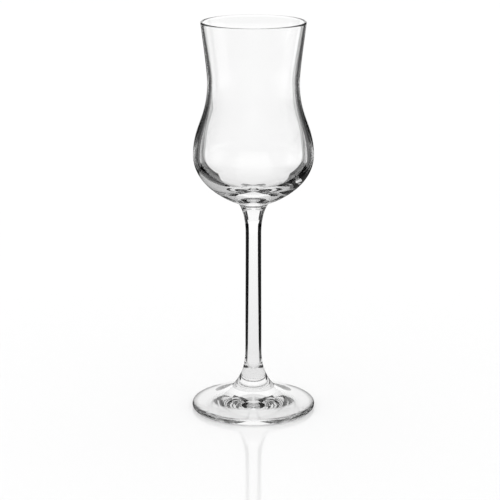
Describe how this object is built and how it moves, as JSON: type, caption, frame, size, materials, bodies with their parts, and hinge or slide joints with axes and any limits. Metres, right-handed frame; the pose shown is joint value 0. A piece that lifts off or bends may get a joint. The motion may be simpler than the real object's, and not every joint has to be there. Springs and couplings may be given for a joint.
{
  "type": "grappa glass",
  "caption": "Stemmed grappa glass: tulip bowl with a round belly, drawn-in waist and flared rim, on a slim stem and a round foot.",
  "frame": {"origin": "middle of the plane that the foot rests on, on the axis of the glass", "axes": "+Z along the axis of the glass, from the foot up to the rim; X and Y are free, because the glass is round"},
  "size_m": [0.06, 0.06, 0.19],
  "materials": {
    "bowl_glass": "clear blown glass, fire-polished rim",
    "stem_glass": "clear drawn glass",
    "foot_glass": "clear pressed glass"
  },
  "bodies": {
    "root": {"bowl": "bowl_glass", "stem": "stem_glass", "foot": "foot_glass"}
  },
  "joints": []
}
